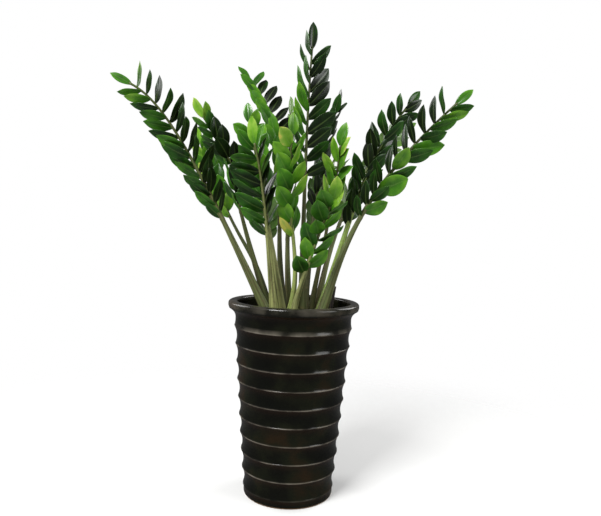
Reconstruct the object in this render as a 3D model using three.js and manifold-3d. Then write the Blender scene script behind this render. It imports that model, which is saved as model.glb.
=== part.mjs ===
// Potted ZZ plant (Zamioculcas): a tall ribbed glazed pot with drain holes, potting soil, the tubers
// buried in it, and the fronds that stand in the soil, each a bare stalk below a double row of leaflets.
// Millimetres, +Z up, the front towards -Y, and the middle of the pot's underside at the origin.

import * as THREE from 'three';
import { mergeVertices } from 'three/addons/utils/BufferGeometryUtils.js';
import Module from 'manifold-3d';

// ---------------------------------------------------------------- driving dimensions

const GAP = 0.3; // left between pieces that touch

const POT_HEIGHT = 500;
const POT_SIDES = 32; // flats round the pot
const FOOT_RADIUS = 116;
const CREST_RADIUS_LOW = 118; // the ribs' crests, at the lowest rib
const CREST_RADIUS_HIGH = 153; // and at the highest
const RIB_COUNT = 10;
const RIB_LOWEST = 21; // height of the lowest crest
const RIB_PITCH = 46;
const RIB_DEPTH = 5.2; // how far the hollow between two ribs falls back
const NECK_RADIUS = 150.5;
const NECK_HEIGHT = 454;
const LIP_RADIUS = 169.5;
const LIP_UNDERSIDE = 480;
const MOUTH_RADIUS = 146;
const WALL = 9;
const FLOOR = 16;
const CORNER = 8; // the slope between the floor and the wall, inside
const DRAIN_COUNT = 3;
const DRAIN_RADIUS = 9;
const DRAIN_CIRCLE = 62; // distance of each drain hole from the axis

const SOIL_TOP = 450;
const SOIL_DOME = 3; // how much higher the soil is in the middle
const SOIL_SHOULDER = 4; // and how much lower at the wall

const STEM_SIDES = 6;
const STEM_TIP_RADIUS = 2.5;
const STEM_TAPER = 2.4; // the power of the way left to the tip that the radius follows
const STEM_SWELLING = 0.1; // how much the base bulges where it leaves the soil
const SWELLING_HEIGHT = 40;
const STALK_DEPTH = 60; // how far a stalk reaches below the soil
const STALK_STEPS = 5;
const LEAFY_STEPS = 9;
const STUMP = { foot: [88, 42, 400], top: [107, 46, 538], radius: 6 }; // an old stalk, cut off

const BLADE_THICKNESS = 2.5;
const BLADE_TAPER = 0.4; // how much of a leaflet's width is lost towards the tip
const BLADE_RECURVE = 0.1; // how far the tip falls back, of the length
const SMALLEST_LEAFLET = 0.75; // the first and the last, of the longest in the middle
const LENGTH_VARIATION = 0.16;
const RISE = 20; // degrees that the leaflets rise out of the frond's face
const RISE_VARIATION = 44; // degrees
const SPREAD_VARIATION = 18; // degrees
const TURN_VARIATION = 30; // degrees
const TIP_SHARE = 0.72; // of the last leaflet's nominal length that goes on past the stem's end
const SWINGS = [0, 14, -14, 28, -28, 42, -42]; // degrees that a crowded leaflet may turn aside

// Tubers: middle and half sizes.
const TUBERS = [
  { at: [-46, -8, 388], size: [36, 40, 34] },
  { at: [-34, 70, 388], size: [40, 36, 34] },
  { at: [42, -18, 388], size: [36, 40, 34] },
  { at: [44, 62, 388], size: [34, 36, 34] },
  { at: [-4, -68, 388], size: [24, 22, 30] },
];

// Fronds, the ones in front first: the four points of the stem's curve, from the soil to the tip; the
// stem's radius at the soil; where the leaflets start, of the stem's length; how many leaflets, how long,
// and how wide near the stem, of their length; and the way that the leafy face looks, in degrees round
// from the front and up. Then for the left and the right row, at the first leaflet and at the last: the
// degrees between the stem and the leaflet, and how far its blade is turned about its own length.
const FRONDS = [
  // three in front of the others: a tall one, a slim pale one and a short bright one
  {
    path: [[-45, -48, 450], [-75, -58, 688], [-88, -107, 875], [-128, -132, 942]],
    radius: 14, from: 0.42, count: 15, length: 86, width: 0.44, face: [-20, 15],
    spread: [[54, 86], [20, 34]], twist: [[-24, -24], [50, 50]],
  },
  {
    path: [[-18, -32, 450], [36, -42, 620], [-50, -55, 710], [-10, -140, 960]],
    radius: 9, from: 0.4, count: 14, length: 74, width: 0.56, face: [30, 10],
    spread: [[34, 40], [32, 40]], twist: [[-20, -20], [-26, -26]],
  },
  {
    path: [[-2, -72, 450], [-5, -70, 495], [30, -70, 605], [95, -200, 800]],
    radius: 10, from: 0.32, count: 12, length: 72, width: 0.6, face: [25, 25],
    spread: [[42, 36], [40, 34]], twist: [[-24, -24], [-24, -24]],
  },
  // the tall one in the middle
  {
    path: [[22, -5, 450], [10, -5, 915], [25, -10, 1225], [30, -10, 1210]],
    radius: 12, from: 0.46, count: 20, length: 86, width: 0.42, face: [15, 10],
    spread: [[42, 32], [60, 40]], twist: [[-58, -98], [-12, -24]],
  },
  // the long ones that arch out to the left and the right
  {
    path: [[-60, -10, 450], [-300, -45, 935], [-350, -100, 1030], [-465, -110, 1030]],
    radius: 14, from: 0.38, count: 29, length: 78, width: 0.4, face: [-15, 25],
    spread: [[32, 62], [38, 74]], twist: [[-26, -40], [-54, -66]],
  },
  {
    path: [[58, -38, 450], [110, -40, 550], [95, -40, 750], [410, -130, 1035]],
    radius: 14, from: 0.4, count: 23, length: 78, width: 0.44, face: [15, 25],
    spread: [[40, 64], [36, 44]], twist: [[-60, -66], [-20, -30]],
  },
  {
    path: [[60, -2, 450], [140, 0, 690], [155, 20, 885], [320, 40, 1065]],
    radius: 14, from: 0.37, count: 23, length: 76, width: 0.44, face: [25, 20],
    spread: [[36, 56], [22, 36]], twist: [[-56, -60], [-24, -24]],
  },
  // the second row
  {
    path: [[-58, 25, 450], [-295, 20, 1130], [-35, 25, 615], [-280, 20, 1015]],
    radius: 12, from: 0.46, count: 21, length: 72, width: 0.48, face: [-45, 15],
    spread: [[24, 44], [34, 52]], twist: [[-26, -26], [-44, -60]],
  },
  {
    path: [[-20, 40, 450], [-85, 45, 760], [20, 55, 925], [-175, 70, 1120]],
    radius: 11, from: 0.46, count: 23, length: 74, width: 0.42, face: [35, 10],
    spread: [[18, 26], [36, 58]], twist: [[-24, -24], [44, 56]],
  },
  {
    path: [[42, 22, 450], [60, 20, 600], [100, -15, 775], [105, -70, 950]],
    radius: 9, from: 0.45, count: 13, length: 76, width: 0.56, face: [-35, 10],
    spread: [[28, 36], [26, 34]], twist: [[-22, -22], [24, 24]],
  },
  {
    path: [[-60, 58, 450], [-125, 70, 690], [-135, 60, 560], [-290, 110, 960]],
    radius: 10, from: 0.5, count: 13, length: 70, width: 0.56, face: [-30, 20],
    spread: [[26, 40], [26, 40]], twist: [[-24, -24], [-40, -40]],
  },
  // a dark one behind the tall one
  {
    path: [[27, 55, 450], [45, 60, 650], [35, 105, 865], [120, 150, 1090]],
    radius: 10, from: 0.45, count: 19, length: 72, width: 0.44, face: [60, 15],
    spread: [[34, 40], [34, 40]], twist: [[-24, -24], [-24, -24]],
  },
  // a slim pale one near the middle
  {
    path: [[-24, 6, 450], [-40, 0, 545], [-85, -15, 760], [-140, -15, 1005]],
    radius: 10, from: 0.48, count: 15, length: 70, width: 0.54, face: [-10, 15],
    spread: [[32, 42], [30, 40]], twist: [[-24, -24], [-24, -24]],
  },
  // and the ones at the back
  {
    path: [[60, 55, 450], [90, 70, 740], [225, 150, 965], [330, 170, 995]],
    radius: 11, from: 0.4, count: 20, length: 72, width: 0.46, face: [150, 25],
    spread: [[24, 44], [24, 40]], twist: [[-24, -24], [-50, -50]],
  },
  {
    path: [[-10, 78, 450], [-35, 85, 655], [-20, 150, 900], [-30, 190, 1070]],
    radius: 11, from: 0.32, count: 22, length: 76, width: 0.5, face: [130, 15],
    spread: [[36, 42], [36, 42]], twist: [[-24, -24], [-24, -24]],
  },
  {
    path: [[-48, 90, 450], [-60, 110, 640], [-90, 170, 800], [-170, 290, 920]],
    radius: 12, from: 0.38, count: 20, length: 78, width: 0.5, face: [215, 30],
    spread: [[34, 46], [36, 48]], twist: [[-24, -24], [-24, -24]],
  },
  {
    path: [[28, 92, 450], [40, 120, 650], [60, 190, 840], [130, 300, 940]],
    radius: 12, from: 0.38, count: 20, length: 78, width: 0.5, face: [145, 30],
    spread: [[34, 46], [36, 48]], twist: [[-24, -24], [-24, -24]],
  },
];

const COLOURS = {
  pot: '#1b1713', soil: '#2b211a', tuber: '#8a6f4e', stump: '#2a2520', stalk: '#7f8f5c', leaf: '#2f6a1c',
};

// ---------------------------------------------------------------- solids and meshes

const wasm = await Module();
wasm.setup();

const group = new THREE.Group();

function solidOf(geometry) {
  geometry.deleteAttribute('normal');
  geometry.deleteAttribute('uv');
  const merged = mergeVertices(geometry);
  return new wasm.Manifold(new wasm.Mesh({
    numProp: 3,
    vertProperties: Float32Array.from(merged.attributes.position.array),
    triVerts: Uint32Array.from(merged.index.array),
  }));
}

function addMesh(name, solid, colour, roughness) {
  const made = solid.getMesh();
  const geometry = new THREE.BufferGeometry();
  geometry.setAttribute('position', new THREE.BufferAttribute(made.vertProperties, 3));
  geometry.setIndex(new THREE.BufferAttribute(made.triVerts, 1));
  geometry.computeVertexNormals();
  const material = new THREE.MeshStandardMaterial({ color: colour, roughness, metalness: 0 });
  const mesh = new THREE.Mesh(geometry, material);
  mesh.name = name;
  group.add(mesh);
}

// A solid turned round the Z axis from [radius, height] points.
function turned(points, sides) {
  const profile = points.map(([radius, height]) => new THREE.Vector2(radius, height));
  return solidOf(new THREE.LatheGeometry(profile, sides).rotateX(Math.PI / 2));
}

// The solid of a simple closed shape whose points have each been put in place by a function.
function reshaped(geometry, place) {
  const positions = geometry.attributes.position;
  const point = new THREE.Vector3();
  for (let i = 0; i < positions.count; i += 1) {
    const placed = place(point.fromBufferAttribute(positions, i));
    positions.setXYZ(i, placed.x, placed.y, placed.z);
  }
  return solidOf(geometry);
}

function radians(degrees) {
  return THREE.MathUtils.degToRad(degrees);
}

// ---------------------------------------------------------------- pot and soil

function crestRadius(height) {
  const up = (height - RIB_LOWEST) / (RIB_PITCH * (RIB_COUNT - 1));
  return THREE.MathUtils.lerp(CREST_RADIUS_LOW, CREST_RADIUS_HIGH, up);
}

// The outside, from the foot to the neck: crests with a hollow between each two.
function ribbedSide() {
  const points = [[FOOT_RADIUS - 3, 0], [FOOT_RADIUS, 3], [FOOT_RADIUS, RIB_LOWEST - 8]];
  for (let rib = 0; rib < RIB_COUNT; rib += 1) {
    const crest = RIB_LOWEST + rib * RIB_PITCH;
    points.push([crestRadius(crest), crest]);
    if (rib === RIB_COUNT - 1) break;
    for (const part of [0.3, 0.7]) {
      const height = crest + part * RIB_PITCH;
      points.push([crestRadius(height) - RIB_DEPTH * Math.sin(Math.PI * part), height]);
    }
  }
  return points;
}

const lip = [
  [NECK_RADIUS, NECK_HEIGHT], [NECK_RADIUS + 1, LIP_UNDERSIDE - 14], [NECK_RADIUS + 7, LIP_UNDERSIDE - 3],
  [LIP_RADIUS - 3, LIP_UNDERSIDE], [LIP_RADIUS, LIP_UNDERSIDE + 5], [LIP_RADIUS, POT_HEIGHT - 5],
  [LIP_RADIUS - 4, POT_HEIGHT], [MOUTH_RADIUS + 3, POT_HEIGHT], [MOUTH_RADIUS, POT_HEIGHT - 3],
];

// The inside of the wall follows the outside's taper.
function insideRadius(height) {
  return crestRadius(height) - RIB_DEPTH - WALL;
}

function makePot() {
  const inside = [
    [MOUTH_RADIUS, LIP_UNDERSIDE], [insideRadius(SOIL_TOP), SOIL_TOP],
    [insideRadius(FLOOR + CORNER), FLOOR + CORNER], [insideRadius(FLOOR) - CORNER, FLOOR], [0, FLOOR],
  ];
  let pot = turned([[0, 0], ...ribbedSide(), ...lip, ...inside], POT_SIDES);
  for (let drain = 0; drain < DRAIN_COUNT; drain += 1) {
    const angle = (drain / DRAIN_COUNT) * 2 * Math.PI;
    const hole = new THREE.CylinderGeometry(DRAIN_RADIUS, DRAIN_RADIUS, 3 * FLOOR, 16);
    hole.rotateX(Math.PI / 2).translate(DRAIN_CIRCLE * Math.cos(angle), DRAIN_CIRCLE * Math.sin(angle), 0);
    pot = pot.subtract(solidOf(hole));
  }
  addMesh('pot', pot, COLOURS.pot, 0.2);
}

// The soil fills the pot, apart from the room that is taken by what is buried in it.
function makeSoil(buried) {
  const outline = [
    [0, FLOOR + GAP], [insideRadius(FLOOR) - CORNER - GAP, FLOOR + GAP],
    [insideRadius(FLOOR + CORNER) - GAP, FLOOR + CORNER],
    [insideRadius(SOIL_TOP - SOIL_SHOULDER) - GAP, SOIL_TOP - SOIL_SHOULDER],
    [insideRadius(SOIL_TOP) - 3 * SOIL_SHOULDER, SOIL_TOP], [0, SOIL_TOP + SOIL_DOME],
  ];
  addMesh('soil', turned(outline, POT_SIDES).subtract(buried), COLOURS.soil, 0.95);
}

// ---------------------------------------------------------------- tubers

function tuberSolid({ at, size }, margin) {
  const ball = new THREE.SphereGeometry(1, 12, 8);
  ball.scale(size[0] + margin, size[1] + margin, size[2] + margin).translate(...at);
  return solidOf(ball);
}

function allTubers(margin) {
  return wasm.Manifold.union(TUBERS.map((tuber) => tuberSolid(tuber, margin)));
}

// ---------------------------------------------------------------- fronds

// The stem's curve, its length, and the direction that its leafy face looks.
function stemOf(frond) {
  const curve = new THREE.CubicBezierCurve3(...frond.path.map((point) => new THREE.Vector3(...point)));
  const [around, up] = frond.face.map(radians);
  const looks = new THREE.Vector3(
    Math.sin(around) * Math.cos(up), -Math.cos(around) * Math.cos(up), Math.sin(up));
  return { curve, length: curve.getLength(), looks };
}

// The point on the stem, and the directions along it, across it to the right and out of its face.
// Below the soil the stem goes straight down.
function spotOn(stem, part) {
  const at = stem.curve.getPointAt(Math.max(part, 0));
  const along = stem.curve.getTangentAt(Math.max(part, 0));
  at.z += Math.min(part, 0) * stem.length;
  const right = new THREE.Vector3().crossVectors(along, stem.looks).normalize();
  const out = new THREE.Vector3().crossVectors(right, along);
  return { at, along, right, out };
}

function stemRadius(frond, stem, part) {
  const taper = (1 - Math.max(part, 0)) ** STEM_TAPER;
  const swelling = 1 + STEM_SWELLING * Math.exp(-((part * stem.length / SWELLING_HEIGHT) ** 2));
  return STEM_TIP_RADIUS + (frond.radius - STEM_TIP_RADIUS) * taper * swelling;
}

function stemSolid(frond, stem, from, to, steps, margin) {
  return reshaped(new THREE.CylinderGeometry(1, 1, 1, STEM_SIDES, steps), ({ x, y, z }) => {
    const part = THREE.MathUtils.lerp(from, to, y + 0.5);
    const { at, right, out } = spotOn(stem, part);
    const radius = stemRadius(frond, stem, part) + margin;
    return at.addScaledVector(right, x * radius).addScaledVector(out, z * radius);
  });
}

// The bare lower part, from below the soil to where the leaflets start.
function stalkSolid(frond, stem, margin) {
  const foot = -STALK_DEPTH / stem.length;
  return stemSolid(frond, stem, foot, frond.from - GAP / stem.length, STALK_STEPS, margin);
}

// One leaflet: a ball of two triangular rings drawn out to a blade, which is pointed at both ends, has
// two thin edges and a keel below, and is bent back towards its tip.
function bladeSolid(root, along, across, out, length, width, margin) {
  const ring = Math.sin(Math.PI / 3); // the radius of the ball's two rings
  const edge = ring * Math.sin(Math.PI / 3); // how far a ring's two upper corners are from its middle
  const thickness = BLADE_THICKNESS + 2 * margin;
  return reshaped(new THREE.SphereGeometry(1, 3, 3, -Math.PI / 2), ({ x, y, z }) => {
    const way = (y + 1) / 2;
    const halfWidth = (1 - BLADE_TAPER * way) * width / 2 + margin;
    const down = (ring / 2 - z) / (1.5 * ring);
    return root.clone()
      .addScaledVector(along, way * (length + margin))
      .addScaledVector(across, (x / edge) * halfWidth)
      .addScaledVector(out, margin - down * thickness - BLADE_RECURVE * length * way ** 2);
  });
}

// A number from 0 to 1 that looks random and is the same for the same frond and leaflet.
function chance(frondIndex, leaflet, use) {
  const wave = Math.sin(frondIndex * 12.9898 + leaflet * 78.233 + use * 37.719) * 43758.5453;
  return wave - Math.floor(wave);
}

// Where the stem ends and its last leaflet starts: the path runs on to that leaflet's tip.
function tipPart(frond, stem) {
  return 1 - TIP_SHARE * frond.length / stem.length;
}

// One leaflet of a frond, swung about the stem by a number of degrees. The rows take turns, left first,
// and the last leaflet carries on the stem's line.
function leafletSolid(frond, frondIndex, stem, leaflet, swing, margin) {
  const last = leaflet === frond.count - 1;
  const way = (leaflet + 0.5) / frond.count;
  const part = THREE.MathUtils.lerp(frond.from, tipPart(frond, stem), last ? 0.98 : way);
  const row = leaflet % 2;
  const side = row ? 1 : -1;
  const vary = (use, range) => range * (chance(frondIndex, leaflet, use) - 0.5);

  const { at, along, right, out } = spotOn(stem, part);
  const atLeaflet = (rows) => THREE.MathUtils.lerp(...rows[row], way);
  const spread = last ? 0 : radians(atLeaflet(frond.spread) + vary(1, SPREAD_VARIATION));
  const rise = radians(RISE + vary(4, RISE_VARIATION) + swing * side);
  const blade = along.clone().multiplyScalar(Math.cos(spread))
    .addScaledVector(right, side * Math.sin(spread) * Math.cos(rise))
    .addScaledVector(out, Math.sin(spread) * Math.sin(rise));
  const upper = out.clone().addScaledVector(blade, -out.dot(blade)).normalize();
  const turn = last ? 0 : radians(atLeaflet(frond.twist) + vary(2, TURN_VARIATION));
  upper.applyAxisAngle(blade, -side * turn);
  const across = new THREE.Vector3().crossVectors(blade, upper);

  const middle = Math.sin(Math.PI * way ** 0.8); // 0 at both ends of the rows, 1 halfway
  const size = THREE.MathUtils.lerp(SMALLEST_LEAFLET, 1, middle) * (1 + vary(3, LENGTH_VARIATION));
  const length = frond.length * size;
  return bladeSolid(at, blade, across, upper, length, length * frond.width, margin);
}

function overlaps(solid, others) {
  return others.some((other) => !solid.intersect(other).isEmpty());
}

const stems = FRONDS.map(stemOf);
const wholeStems = FRONDS.map((frond, index) => (
  stemSolid(frond, stems[index], 0, tipPart(frond, stems[index]), STALK_STEPS + LEAFY_STEPS, GAP)));
const placed = []; // the leafy parts that are already made

// Each leaflet takes the first swing that clears the other fronds and its own neighbours, or else the
// first that clears the other fronds. A leaflet with no room at all isn't there.
function makeFrond(frond, index) {
  const stem = stems[index];
  const number = String(index + 1).padStart(2, '0');
  const stalk = stalkSolid(frond, stem, 0).subtract(allTubers(GAP));
  addMesh(`stalk_${number}`, stalk, COLOURS.stalk, 0.5);

  const others = [...wholeStems.filter((_, other) => other !== index), ...placed];
  const leaflets = [];
  for (let leaflet = 0; leaflet < frond.count; leaflet += 1) {
    const room = (swing) => leafletSolid(frond, index, stem, leaflet, swing, GAP);
    const free = SWINGS.filter((swing) => !overlaps(room(swing), others));
    const clear = free.find((swing) => !overlaps(room(swing), leaflets));
    if (free.length === 0) continue;
    leaflets.push(leafletSolid(frond, index, stem, leaflet, clear ?? free[0], 0));
  }
  const leafyStem = stemSolid(frond, stem, frond.from, tipPart(frond, stem), LEAFY_STEPS, 0);
  const leaves = wasm.Manifold.union([leafyStem, ...leaflets]).simplify(GAP / 2);
  placed.push(leaves);
  addMesh(`leaves_${number}`, leaves, COLOURS.leaf, 0.3);
}

function stumpSolid(margin) {
  const foot = new THREE.Vector3(...STUMP.foot);
  const top = new THREE.Vector3(...STUMP.top);
  return reshaped(new THREE.CylinderGeometry(1, 1, 1, STEM_SIDES), ({ x, y, z }) => {
    const radius = STUMP.radius + margin;
    return foot.clone().lerp(top, y + 0.5).add(new THREE.Vector3(x * radius, -z * radius, 0));
  });
}

// ---------------------------------------------------------------- the plant

makePot();
TUBERS.forEach((tuber, index) => addMesh(`tuber_${index + 1}`, tuberSolid(tuber, 0), COLOURS.tuber, 0.8));
FRONDS.forEach(makeFrond);
addMesh('stump', stumpSolid(0), COLOURS.stump, 0.8);
const buriedStalks = FRONDS.map((frond, index) => stalkSolid(frond, stems[index], GAP));
makeSoil(wasm.Manifold.union([...buriedStalks, stumpSolid(GAP), allTubers(GAP)]));

export default group;
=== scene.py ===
"""Potted ZZ plant: the looks of the pot, the soil, the tubers, and the fronds with their leaflets.

Lengths are in millimetres until a mesh is made, +Z up, the front towards -Y.
"""

import math

import bmesh
import bpy
import numpy as np
from mathutils import Matrix, Vector, noise
from mathutils.bvhtree import BVHTree


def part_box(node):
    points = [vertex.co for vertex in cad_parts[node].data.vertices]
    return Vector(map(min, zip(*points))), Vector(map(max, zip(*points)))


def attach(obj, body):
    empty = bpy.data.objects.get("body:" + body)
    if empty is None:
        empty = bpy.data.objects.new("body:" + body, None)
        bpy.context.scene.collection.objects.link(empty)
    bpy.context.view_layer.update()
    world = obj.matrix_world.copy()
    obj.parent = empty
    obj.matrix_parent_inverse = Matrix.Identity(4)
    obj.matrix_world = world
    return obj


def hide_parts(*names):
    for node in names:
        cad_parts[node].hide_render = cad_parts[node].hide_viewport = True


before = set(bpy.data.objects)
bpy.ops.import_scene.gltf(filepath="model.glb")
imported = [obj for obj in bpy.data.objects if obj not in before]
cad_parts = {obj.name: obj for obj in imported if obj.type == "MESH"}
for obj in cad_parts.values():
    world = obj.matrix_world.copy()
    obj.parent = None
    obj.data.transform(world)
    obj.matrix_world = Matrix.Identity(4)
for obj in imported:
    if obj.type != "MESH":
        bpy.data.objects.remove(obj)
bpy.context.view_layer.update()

# ---------------------------------------------------------------- pot
# A tall stoneware pot, thrown on a wheel with ten sharp ribs and a rolled lip, dipped in a black iron
# glaze and fired. It stands on its bare foot, and three holes through the floor let the water out.

MM = 0.001
RIB_COUNT = 10
RIB_LOWEST = 21  # height of the lowest crest
RIB_PITCH = 46
RIB_DEPTH = 5.2  # of the hollow between two ribs
CREST_RADIUS = (118, 153)  # at the lowest and the highest rib
CREST_BLUNTING = 0.024  # rounding each side of a crest, of the pitch
LOWEST_CREST = 0.15  # how far the glaze breaks there: it has run down over it
FOOT_RADIUS = 116
NECK_RADIUS = 150.5
NECK_HEIGHT = 454
LIP_UNDERSIDE = 480
MOUTH_RADIUS = 146
WALL = 9
FLOOR = 16
FLOOR_MIDDLE = 30
CORNER = 8  # the slope between the floor and the wall, inside
SOIL_TOP = 450
DRAIN_COUNT = 3
DRAIN_CIRCLE = 62  # from the axis
DRAIN_RADIUS = 9
DRAIN_SIDES = 32
DRAIN_TURN = 0.05  # radians, which keeps a drill's corners off the edges of the floor's faces
POT_SIDES = 144

lip_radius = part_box("pot")[1].x / MM
pot_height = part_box("pot")[1].z / MM


def crest_radius(height):
    up = (height - RIB_LOWEST) / (RIB_PITCH * (RIB_COUNT - 1))
    return CREST_RADIUS[0] + (CREST_RADIUS[1] - CREST_RADIUS[0]) * up


def inside_radius(height):
    return crest_radius(height) - RIB_DEPTH - WALL


def rounded_corner(centre, radius, start, end, steps=6):
    """[radius, height] points round an arc, from one angle to another in degrees."""
    angles = np.radians(np.linspace(start, end, steps))
    return [(centre[0] + radius * math.cos(a), centre[1] + radius * math.sin(a)) for a in angles]


def pot_profile():
    """The [radius, height, crest] points from the foot, up the outside, over the lip and down the
    inside. Crest: how far the glaze breaks there, drawn pale, partly as a painted highlight."""
    points = [(FOOT_RADIUS - 30, 0, 0), (FOOT_RADIUS - 4, 0, 0)]
    points += [(FOOT_RADIUS - 1, 1, 0), (FOOT_RADIUS, 4, 0)]
    points += [(FOOT_RADIUS, height, 0) for height in (7, 10, 13)]
    points.append((FOOT_RADIUS + 0.4, RIB_LOWEST - 4, 0))
    shares = np.array([0, 0.015, 0.04, 0.09, 0.16, 0.25, 0.36, 0.5, 0.64, 0.75, 0.84, 0.91, 0.96, 0.985])
    for rib in range(RIB_COUNT):
        crest = RIB_LOWEST + rib * RIB_PITCH
        if rib == RIB_COUNT - 1:
            points += [(crest_radius(crest), crest, 1), (crest_radius(crest) - 0.8, crest + 1.6, 0.5)]
            break
        for share in shares:
            height = crest + share * RIB_PITCH
            nearest = min(share, 1 - share)
            hollow = RIB_DEPTH * math.sin(math.pi * share) ** 0.8
            sharp = LOWEST_CREST if rib + round(share) == 0 else 1
            points.append((crest_radius(height) - hollow, height,
                           sharp * math.exp(-((nearest / CREST_BLUNTING) ** 2))))
    points += [(NECK_RADIUS + 0.2, NECK_HEIGHT - 8, 0), (NECK_RADIUS, NECK_HEIGHT, 0)]
    for share in np.linspace(0.15, 1, 8):  # the flare below the lip
        outward = (lip_radius - 2 - NECK_RADIUS) * share ** 2.6
        points.append((NECK_RADIUS + outward, NECK_HEIGHT + (LIP_UNDERSIDE + 2 - NECK_HEIGHT) * share, 0))
    corners = rounded_corner((lip_radius - 6, LIP_UNDERSIDE + 9), 6, -30, 10)
    corners += rounded_corner((lip_radius - 7, pot_height - 7), 7, 10, 90)
    corners += rounded_corner((MOUTH_RADIUS + 5, pot_height - 5), 5, 90, 180)
    points += [(radius, height, 0.25) for radius, height in corners]
    points += [(MOUTH_RADIUS - share * 0.5, pot_height - 6 - share * 12, 0) for share in (0.5, 1)]
    for height in np.linspace(SOIL_TOP, FLOOR + CORNER, 6):
        points.append((inside_radius(height), height, 0))
    return points + [(inside_radius(FLOOR) - CORNER, FLOOR, 0), (FLOOR_MIDDLE, FLOOR, 0)]


def skin(rings):
    """The points and faces of a closed skin: four-sided faces between rings, and a fan over each end."""
    rings = np.asarray(rings, float)
    count, around = rings.shape[:2]
    points = np.vstack([rings.reshape(count * around, -1), rings[0].mean(0), rings[-1].mean(0)])
    index = np.arange(count * around).reshape(count, around)
    ahead = np.roll(index, -1, axis=1)
    walls = np.stack([index[:-1], ahead[:-1], ahead[1:], index[1:]], axis=-1).reshape(-1, 4).tolist()
    near_end = [(a, count * around, b) for a, b in zip(index[0].tolist(), ahead[0].tolist())]
    far_end = [(b, count * around + 1, a) for a, b in zip(index[-1].tolist(), ahead[-1].tolist())]
    return points, walls + near_end + far_end


def joined(skins):
    """Several skins as one."""
    points, faces, before = [], [], 0
    for some_points, some_faces in skins:
        points.append(some_points)
        faces += [tuple(corner + before for corner in face) for face in some_faces]
        before += len(some_points)
    return np.vstack(points), faces


def make_piece(name, made, material, columns=()):
    """A smooth mesh object. Columns name what each point carries after its place: three numbers each."""
    points, faces = made
    mesh = bpy.data.meshes.new(name)
    mesh.from_pydata((points[:, :3] * MM).tolist(), [], faces)
    for number, column in enumerate(columns, start=1):
        attribute = mesh.attributes.new(column, "FLOAT_VECTOR", "POINT")
        values = points[:, 3 * number:3 * number + 3].astype(np.float32)
        attribute.data.foreach_set("vector", values.ravel())
    shape = bmesh.new()
    shape.from_mesh(mesh)
    bmesh.ops.recalc_face_normals(shape, faces=shape.faces)
    shape.to_mesh(mesh)
    shape.free()
    mesh.shade_smooth()
    mesh.materials.append(material)
    piece = bpy.data.objects.new(name, mesh)
    bpy.context.scene.collection.objects.link(piece)
    return piece


def linear(colour):
    """A '#rrggbb' sRGB colour as linear red, green, blue and alpha."""
    parts = [int(colour[start:start + 2], 16) / 255 for start in (1, 3, 5)]
    return [p / 12.92 if p <= 0.04045 else ((p + 0.055) / 1.055) ** 2.4 for p in parts] + [1]


def scale_for(size):
    """The scale that gives a pattern features of a size in millimetres."""
    return 1 / (size * MM)


def add_node(tree, kind, inputs, stops=(), **settings):
    """Adds a node. Inputs are values or other nodes' sockets, and stops are a ramp's places and colours."""
    made = tree.nodes.new(kind)
    for name, value in settings.items():
        setattr(made, name, value)
    for name, value in inputs.items():
        if isinstance(value, bpy.types.NodeSocket):
            tree.links.new(value, made.inputs[name])
        else:
            made.inputs[name].default_value = value
    for number, (place, colour) in enumerate(stops):
        ramp = made.color_ramp.elements
        stop = ramp[number] if number < 2 else ramp.new(place)
        stop.position, stop.color = place, linear(colour)
    return made


def new_material(name):
    material = bpy.data.materials.new(name)
    material.use_nodes = True
    material.node_tree.nodes.clear()
    return material, material.node_tree


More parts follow.
